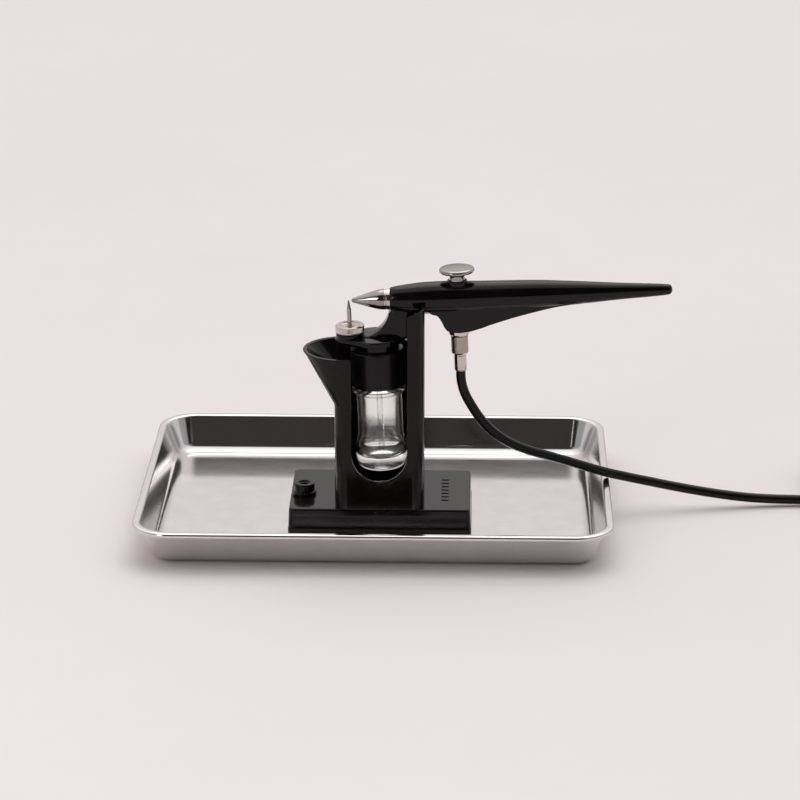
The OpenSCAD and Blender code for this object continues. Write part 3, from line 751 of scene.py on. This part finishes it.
class Wall:
    """The column's sheet: an outer and an inner skin, joined by rounded edges and a flat foot"""

    def __init__(self):
        self.points = []
        self.normals = []
        self.faces = []

    def put(self, point, normal):
        self.points.append(point)
        self.normals.append(normal)
        return len(self.points) - 1

    def put_on(self, angle, z, layer):
        return self.put(wall_at(angle, z, layer), wall_normal(angle, z, layer))

    def round_off(self, loop):
        """Closes a loop of the edge, and returns its first ring on the outside and its last inside"""
        outside = [wall_at(a, z, 0) for a, _, z in loop]
        inside = [wall_at(b, z, 1) for _, b, z in loop]
        count, steps = len(loop), 4
        rings = [[] for _ in range(2 * steps)]
        for i in range(count):
            through = inside[i] - outside[i]
            thick = through.length
            through.normalize()
            flows = [outside[i] - outside[i - 1], outside[(i + 1) % count] - outside[i]]
            aways = [through.cross(f).normalized() for f in flows if f.length > 1e-6]
            away = sum(aways, Vector()).normalized()
            spare = max(0.5, away.dot(aways[0]))
            for k in range(steps):
                a = math.pi / 2 * k / (steps - 1)
                start = outside[i] + away * (math.sin(a) - 1) * EDGE / spare
                deep = (1 - math.cos(a)) * EDGE
                lean, face = away * math.sin(a), through * math.cos(a)
                rings[k].append(self.put(start + through * deep, lean - face))
                rings[-1 - k].append(self.put(start + through * (thick - deep), lean + face))
        for a, b in zip(rings, rings[1:]):
            self.faces += [[a[(i + 1) % count], a[i], b[i], b[(i + 1) % count]] for i in range(count)]
        for layer, ring in ((0, rings[0]), (1, rings[-1])):
            for i in ring:
                p = self.points[i]
                self.normals[i] = wall_normal(math.atan2(p.y, p.x), p.z, layer)
        return rings[0], rings[-1]

    def skin(self, layer, edge, edge_ring, window, window_ring):
        """One side of the wall, cut to its edges; returns the indices round its foot"""
        start = -math.pi / 2
        turns = [start + FULL * k / 144 for k in range(144)]
        foot = [self.put_on(a, BASE_TOP, layer) for a in turns]
        seam = [(self.put_on(start, z, layer), z) for z in spread(BASE_TOP, SLOT_Z - SLOT_R, 3)[1:-1]]

        def unrolled(index, near):
            """A point's place on the flattened wall; near is about its angle"""
            p = self.points[index]
            angle = math.atan2(p.y, p.x)
            return Vector(((angle + FULL * round((near - angle) / FULL)) * COLUMN_R, p.z))

        rising = [i for i, _ in seam]
        known = [*foot, foot[0], *rising, *edge_ring, edge_ring[0], *rising[::-1]]
        plan = [Vector((a * COLUMN_R, BASE_TOP)) for a in (*turns, start + FULL)]
        plan += [Vector(((start + FULL) * COLUMN_R, z)) for _, z in seam]
        nears = [e[layer] for e in edge]
        plan += [unrolled(i, a) for i, a in zip(edge_ring, nears)]
        plan.append(plan[len(turns) + 1 + len(seam)] - Vector((FULL * COLUMN_R, 0)))
        plan += [Vector((start * COLUMN_R, z)) for _, z in seam[::-1]]
        border = len(plan)
        plan += [unrolled(i, w[layer]) for i, w in zip(window_ring, window)]
        known += window_ring
        outline, opening = plan[:border], plan[border:]
        bounds = [list(range(border)), list(range(border, len(plan)))]
        rows = spread(BASE_TOP, SPOUT_LOW - 0.6, 6)[1:] + spread(SPOUT_LOW + 0.6, RIM_Z, 1.6)
        rows += spread(RIM_Z, 118, 3)[1:]
        columns = 2 * len(turns)
        for k in range(1, columns):
            angle = start + FULL * k / columns
            # twice as many round the spout and the front's right corner
            if k % 2 and not 1.9 < angle < 4.5 and angle > -0.6:
                continue
            for z in rows:
                p = Vector((COLUMN_R * angle, z))
                if encloses(outline, p) and not encloses(opening, p) \
                        and all((p - q).length > 0.8 for q in outline + opening):
                    known.append(self.put_on(angle, z, layer))
                    plan.append(p)
        made, _, triangles, origins = geometry.delaunay_2d_cdt(plan, [], bounds, 1, 1e-6)[:4]
        for triangle in triangles:
            centre = sum((made[i] for i in triangle), Vector((0, 0))) / 3
            if encloses(outline, centre) and not encloses(opening, centre):
                corners = [known[origins[i][0]] for i in triangle]
                self.faces.append(corners[::-1] if layer else corners)
        return foot


def make_column():
    wall = Wall()
    edge, window = wall_edge(), window_edge()
    edge_rings = wall.round_off(edge)
    window_rings = wall.round_off(window)
    outer, inner = [
        wall.skin(layer, edge, edge_rings[layer], window, window_rings[layer]) for layer in (0, 1)
    ]
    wall.faces += [[outer[k - 1], inner[k - 1], inner[k], outer[k]] for k in range(len(outer))]
    mesh = bpy.data.meshes.new("fine_column")
    mesh.from_pydata([(p + COLUMN_AT) * MM for p in wall.points], [], wall.faces)
    for polygon in mesh.polygons:
        polygon.use_smooth = True
    mesh.normals_split_custom_set_from_vertices([n.normalized() for n in wall.normals])
    column = bpy.data.objects.new("fine_column", mesh)
    bpy.context.scene.collection.objects.link(column)
    mesh.materials.append(finish["gloss_black"])
    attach(column, "stand")
    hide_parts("column")
    floor = prism(Shape(), plan_points(0.6), BASE_TOP, BASE_TOP + 2, 0.1, Matrix.Translation(COLUMN_AT))
    floor.piece("column_floor", "stand", finish["gloss_black"], slot="gloss_black")


# ---- airbrush ----

BARREL = smooth_line([
    (19, 5.4), (19.6, 5.85), (27, 7), (37, 7.9), (47, 8.05), (60, 7.65), (75, 7.35), (90, 7),
    (110, 5.8), (133, 4.1), (152.5, 2.9), (155.4, 2.6),
])
KEEL_START, KEEL_END = 36.5, 118
KEEL = smooth_line([
    (KEEL_START, -2), (39, -7.2), (41.9, -8.2), (43.8, -10.9), (45.3, -14.2), (46.9, -16.2), (49.2, -17.05),
    (53.8, -17.1), (57.5, -16.7), (62, -15.6), (69, -13.4), (85, -9.3), (101, -6.1), (KEEL_END, -4),
])
KEEL_WIDTH = smooth_line([(36, 5.6), (57, 5.6), (85, 4.4), (120, 3)])
TAIL_U = 157.5
TAIL_DEPTH = 2.08      # how long the rounded end of the tail is


def body_radius(u):
    share = max(0.0, (u - (TAIL_U - TAIL_DEPTH)) / TAIL_DEPTH)
    return BARREL(u) * math.sqrt(max(0.0, 1 - share * share))


def blend_min(a, b, soft):
    """The smaller of two numbers, with a smooth change from one to the other"""
    h = max(0.0, min(1.0, 0.5 + 0.5 * (b - a) / soft))
    return b + (a - b) * h - soft * h * (1 - h)


# The sunk hole under the button's collar, which its neck goes down into
BUTTON_WELL_R = 4.4
BUTTON_WELL_V = 5


def body_ring(u, side):
    """Half of the handle's cross-section from its underside to its top, split at the middle"""
    radius = body_radius(u)
    deep = -KEEL(u) if KEEL_START < u < KEEL_END else 0
    wide = KEEL_WIDTH(u)
    # more points where the keel's edge and crease are
    turns = spread(0, 50, 1.25) + spread(50, 180, 4)[1:]
    ring = []
    for degrees in turns:
        a = math.radians(degrees)
        reach = radius
        if deep > 0 and degrees < 89:
            keel = blend_min(wide / max(math.sin(a), 1e-4), deep / math.cos(a), 1.6)
            reach = -blend_min(-radius, -keel, 0.5)
        across, high = reach * math.sin(a), -reach * math.cos(a)
        if high > 0 and math.hypot(u - BUTTON_U, across) < BUTTON_WELL_R:
            high = min(high, BUTTON_WELL_V)
        ring.append(Vector((u, side * across, high)))
    seam = 0.1
    ring[0] = Vector((u, 0, ring[0].z + seam))
    ring[-1] = Vector((u, 0, ring[-1].z - seam))
    ring.insert(1, Vector((u, side * 0.12, ring[1].z)))
    ring.insert(-1, Vector((u, side * 0.12, ring[-2].z)))
    return [BRUSH @ p for p in ring]


def make_body():
    stations = [19, 19.15, 19.35, 19.6, *spread(20.5, 36, 1.5), *spread(KEEL_START, 58, 0.35)]
    stations += [*spread(59, KEEL_END, 1.2), *spread(119.5, 155, 2.5)]
    stations += [TAIL_U - TAIL_DEPTH * (1 - math.sin(math.pi / 2 * k / 7)) for k in range(1, 8)]
    for name, side in (("body_left", -1), ("body_right", 1)):
        rings = [body_ring(u, side) for u in stations]
        rings[-1] = [BRUSH @ Vector((TAIL_U, 0, 0))] * len(rings[0])
        dress(name, Shape().loft(rings, caps=(True, False)), "airbrush", "body_black", sharp=60)


def along_u():
    """Turns a shape made about Z so that it stands on the u axis"""
    return BRUSH @ Matrix.Rotation(math.pi / 2, 4, "Y")


def upright(u):
    return BRUSH @ Matrix.Translation((u, 0, 0))


def make_nozzles():
    cone = smooth_line([(0, 0.8), (4, 2.15), (10, 4.0), (14, 5.0), (16.1, 5.2)])
    outline = [(0.45, 0), *[(cone(z), z) for z in spread(0.15, 15.7, 0.8)],
               (5.2, 16), (5.05, 16.1), (3.3, 16.1), (3.3, 18.9), (0.45, 18.9)]
    dress("air_nozzle", Shape().turn(outline, 128, along_u()), "airbrush", "nickel", 40, "chrome")
    outline = rounded([(3.36, 16.1), (5.15, 16.1), (5.15, 16.7), (4.95, 16.85), (4.95, 17.1), (5.2, 17.25),
                       (5.2, 19.02), (3.36, 19.02)], 0.12, 3)
    dress("nozzle_collar", Shape().turn(outline, 128, along_u()), "airbrush", "nickel", sharp=40)
    outline = [(0.25, 0), (0.4, 0.02), (0.95, -3.8), (1.1, -4.1), (1.1, -4.3), (1.1, -24), (0.6, -24),
               (0.6, -5), (0.25, -1.5)]
    dress("paint_nozzle", Shape().turn(outline, 48, upright(NEEDLE_U)), "needle", "needle_steel", sharp=30)


def make_dial():
    outline = [(1.16, -18.2), (3, -18.2), (3, -16.15), (6.5, -16.15), (7.1, -15.75),
               *[(7.1, v) for v in spread(-15.5, -12.9, 0.26)], (7.1, -12.65), (6.6, -12.2), (4.9, -12.2),
               (4.6, -12.65), (2.5, -12.75), (2.3, -12.4), (1.16, -12.4)]
    dress("flow_dial", Shape().turn(outline, 384, upright(NEEDLE_U), knurl(64, 0.28, -15.75, -12.65)),
          "dial", "nickel", sharp=30)


def make_bracket():
    place = upright(JAR_U)
    shape = Shape()
    small, big, gap = 7.5, 14.0, JAR_U - NEEDLE_U
    lean = math.degrees(math.acos((big - small) / gap))
    outline = arc((0, 0), big, -180 + lean, 180 - lean, 96)
    outline += arc((-gap, 0), small, 180 - lean, 180 + lean, 48)
    prism(shape, outline, -21.3, -18.2, 0.8, place, steps=5)
    shape.turn(rounded([(0, -25), (11, -25), (11, -20), (0, -20)], [0, 0.3, 0, 0]), 96, place)
    boss = rounded([(1.16, -24.6), (7, -24.6), (7, -16.2), (3.06, -16.2), (3.06, -18.3), (1.16, -18.3)],
                   [0, 1.2, 0.5, 0.2, 0, 0], 5)
    shape.turn(boss, 96, upright(NEEDLE_U))
    neck = [(31, -5), (30.5, -12), (28.5, -19.5), (2.6, -19.5), *arc((3.2, -3), 15.2, -90, -12, 26),
            (19, -5.4), (21, -3)]
    sideways = BRUSH @ Matrix.Rotation(math.pi / 2, 4, "X")
    prism(shape, neck, -5.2, 5.2, 1.4, sideways, steps=6)
    dress("nozzle_bracket", shape, "airbrush", "body_black", sharp=40)


def make_button():
    place = upright(BUTTON_U)
    outline = [(0, 8.3), (3.9, 8.3), (3.9, 8.9), (3.75, 9.9), (3.75, 10.8), (4.1, 11.5), (4.9, 12.0),
               (6.2, 12.35), (7.2, 12.6)]
    outline += arc((7.6, 13.72), 1.15, -75, 62, 12)
    outline += [(r, 14.82 + 0.62 * (1 - (r / 8.1) ** 2)) for r in (7.6, 7, 6.2, 5, 3.6, 2.2, 1, 0)]
    dress("button_cap", Shape().turn(outline, 128, place), "button", "nickel", 50, "chrome")
    outline = rounded([(4.05, 5), (4.95, 5), (4.95, 8.55), (4.55, 8.55), (4.55, 8.1), (4.05, 8.1)],
                      [0, 0, 0.15, 0.15, 0, 0.1], 3)
    dress("button_collar", Shape().turn(outline, 96, place), "airbrush", "body_black", sharp=40)


def make_spring():
    """The valve's return spring, with a closed coil at each end, wound at one fixed length"""
    radius, wire, low, high, coils, steps = 1.75, 0.25, -17.3, -10.4, 7, 20
    closed = 2.1 * wire
    pitch = (high - low - 2 * wire - 2 * closed) / (coils - 2)
    path = []
    for i in range(coils * steps + 1):
        turn = i / steps
        a = FULL * turn
        v = low + wire + closed * min(turn, 1) + pitch * min(max(turn - 1, 0), coils - 2)
        v += closed * max(0, turn - coils + 1)
        path.append(BRUSH @ Vector((BUTTON_U + radius * math.cos(a), radius * math.sin(a), v)))
    coil = Shape().loft(tube_rings(path, wire, 10))
    spring = dress("valve_spring", coil, "airbrush", "screw_steel", sharp=60)
    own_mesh(spring)


def make_jar():
    place = upright(JAR_U)
    outline = rounded([(1.55, -24.8), (13.3, -24.8), (13.3, -43.4), (11.6, -43.4), (11.6, -31.5),
                       (1.55, -31.5)], [0, 0.9, 0.35, 0.2, 0, 0], 5)
    lid = Shape().turn(outline, 128, place)
    dress("jar_lid", lid, "airbrush", "lid_black", sharp=40)
    low, foot_r, neck_r, bore_r = -86.2, 13, 11.2, 9.4
    outline = [(9.5, -32.5), (10.9, -32.5), (neck_r, -32.8), (neck_r, -43.9)]
    outline += arc((11.9, -45.6), 1.4, 80, -80, 10)
    outline += [(11.35, -47.4), (neck_r, -48.5), (neck_r, -60)]
    wall = smooth_line([(-74.6, foot_r), (-73.6, 12.7), (-72, 11.9), (-70.3, 11.4), (-68, neck_r),
                        (-66, neck_r)])
    outline += [(wall(v), v) for v in spread(-74.2, -66.5, 0.6)[::-1]]
    outline += [(foot_r, -74.9), (foot_r, low + 7)]
    outline += [(foot_r - 2.9 * (1 - math.cos(a)) - 0.2 * math.sin(a), low + 7 - 6.6 * math.sin(a))
                for a in [math.pi / 2 * k / 9 for k in range(1, 9)]]
    outline += [(9.6, low + 0.15), (9, low), (7.6, low + 0.3), (0, low + 0.9)]
    outline += [(0, low + 6.4), (6, low + 6.2), (8.8, low + 6.4), (10.5, low + 7.2), (11.2, low + 8.6),
                (11.4, low + 11)]
    inner = smooth_line([(-74.5, 11.35), (-73, 10.8), (-71.5, 10.1), (-69.5, 9.6), (-67, bore_r)])
    outline += [(inner(v), v) for v in spread(-74.3, -67.5, 0.6)]
    outline += [(bore_r, -66), (bore_r, -57), (bore_r, -46), (9.2, -43), (9.2, -32.8)]
    dress("jar", Shape().turn(outline, 144, place), "jar", "jar_glass", sharp=60)
    tube = [(1, -79.5), (1.5, -79.5), (1.5, -20.4), (1, -20.4)]
    dress("suction_tube", Shape().turn(tube, 48, place), "airbrush", "clear_tube")


def make_fittings():
    place = upright(BUTTON_U)
    outline = rounded([(1.4, -27), (3.2, -27), (3.2, -19.3), (4.7, -19.3), (5.15, -18.6), (5.15, -17),
                       (1.4, -17)], [0, 0, 0, 0.3, 0.3, 0.2, 0], 4)
    dress("inlet_adapter", Shape().turn(outline, 96, place), "airbrush", "nickel", sharp=40)
    outline = [(3.26, -19.5), (3.8, -19.5), (4.2, -20), *[(4.2, v) for v in spread(-20.3, -28, 0.45)],
               (4.2, -28.3), (3.7, -28.95), (2.3, -28.95), (2.3, -27.6), (3.26, -27.6)]
    nut = Shape().turn(outline, 240, place, knurl(40, 0.2, -28.2, -20.1))
    dress("hose_nut", nut, "nut", "nickel", 30, "nut_nickel")
    outline = rounded([(2.25, -29.1), (2.95, -29.1), (2.95, -29.9), (3.1, -30.1), (3.1, -37.1),
                       (2.85, -37.85), (2.25, -37.85)], [0, 0.2, 0.1, 0.1, 0.3, 0.3, 0], 4)
    return dress("hose_ferrule", Shape().turn(outline, 96, place), "airbrush", "nickel", sharp=40)


# ---- stage and light ----

def make_stage():
    paper = surface("pale_paper", ((0.79, 0.735, 0.74), (0.81, 0.755, 0.76)), (0.75, 0.9), 30)
    size = 30.0
    mesh = bpy.data.meshes.new("floor")
    corners = [(-size, -size, 0), (size, -size, 0), (size, size, 0), (-size, size, 0)]
    mesh.from_pydata(corners, [], [(0, 1, 2, 3)])
    floor = bpy.data.objects.new("floor", mesh)
    mesh.materials.append(paper)
    bpy.context.scene.collection.objects.link(floor)
    floor.location.z = -0.0002


def add_light(data, place, heading):
    """Puts a lamp at a place, shining along heading"""
    light = bpy.data.objects.new(data.name, data)
    light.location = place
    light.rotation_euler = heading.to_track_quat("-Z", "Y").to_euler()
    bpy.context.scene.collection.objects.link(light)


def make_light():
    """A white room over and behind the object, dark on the camera's side, with one soft lamp on the left"""
    sun = bpy.data.lights.new("overhead", "SUN")
    sun.energy = 0.68
    sun.angle = math.radians(45)
    add_light(sun, (0, 0, 0), Vector((-0.1, -0.55, -1)))
    lamp = bpy.data.lights.new("lamp_left", "AREA")
    lamp.shape = "RECTANGLE"
    lamp.size = 0.3
    lamp.size_y = 0.5
    lamp.energy = 1.8
    lamp.color = (1, 0.985, 0.975)
    place, target = Vector((-0.75, -1.05, 0.6)), Vector((0, 0, 0.08))
    add_light(lamp, place, target - place)
    world = bpy.data.worlds.new("studio")
    bpy.context.scene.world = world
    world.use_nodes = True
    tree = world.node_tree
    back = tree.nodes["Background"]
    where = tree.nodes.new("ShaderNodeTexCoord")
    split = tree.nodes.new("ShaderNodeSeparateXYZ")
    tree.links.new(where.outputs["Generated"], split.inputs["Vector"])

    def maths(operation, a, b):
        made = tree.nodes.new("ShaderNodeMath")
        made.operation = operation
        for socket, value in zip(made.inputs, (a, b)):
            if isinstance(value, (int, float)):
                socket.default_value = value
            else:
                tree.links.new(value, socket)
        return made.outputs["Value"]

    # 0 at the camera's horizon, 1/2 overhead, 1 at the back's horizon
    forward = maths("MULTIPLY", split.outputs["Y"], -1.0)
    turn = maths("DIVIDE", maths("ARCTAN2", split.outputs["Z"], forward), math.pi)
    dark, white = (0.035, 0.031, 0.031), (1.0, 0.975, 0.975)
    room = ramp(tree, turn, [
        (0.0, dark), (0.345, dark), (0.395, (0.85, 0.83, 0.83)), (0.5, white), (0.78, white),
        (0.84, (0.82, 0.79, 0.795)), (0.90, (0.62, 0.585, 0.59)), (0.95, (0.45, 0.42, 0.42)),
        (1.0, (0.3, 0.27, 0.265)),
    ])
    beside = maths("ABSOLUTE", split.outputs["X"], 0.0)
    sides = ramp(tree, beside, [(0.35, 1.0), (0.62, 0.55), (0.85, 0.25)])

    def mixed(blend, a, b):
        made = tree.nodes.new("ShaderNodeMix")
        made.data_type = "RGBA"
        made.blend_type = blend
        made.inputs["Factor"].default_value = 1.0
        tree.links.new(a, made.inputs["A"])
        tree.links.new(b, made.inputs["B"])
        return made.outputs["Result"]

    fill = ramp(tree, beside, [(0.4, 0.0), (0.65, 0.28)])
    tree.links.new(mixed("ADD", mixed("MULTIPLY", room, sides), fill), back.inputs["Color"])
    back.inputs["Strength"].default_value = 1.3


# ---- assembly ----

make_camera()
fittings = make_end_fitting()
strap = make_tie()
ferrule = make_fittings()
make_hose()
make_tray()
make_base()
make_socket()
make_column()
make_body()
make_nozzles()
make_dial()
make_bracket()
make_button()
make_spring()
make_jar()

slots = {part["node"]: part["material_slot"] for part in frame["record"]["subparts"]}
for node, part in frame["nodes"].items():
    part.data.materials.clear()
    part.data.materials.append(finish[slots[node]])

make_stage()
make_light()
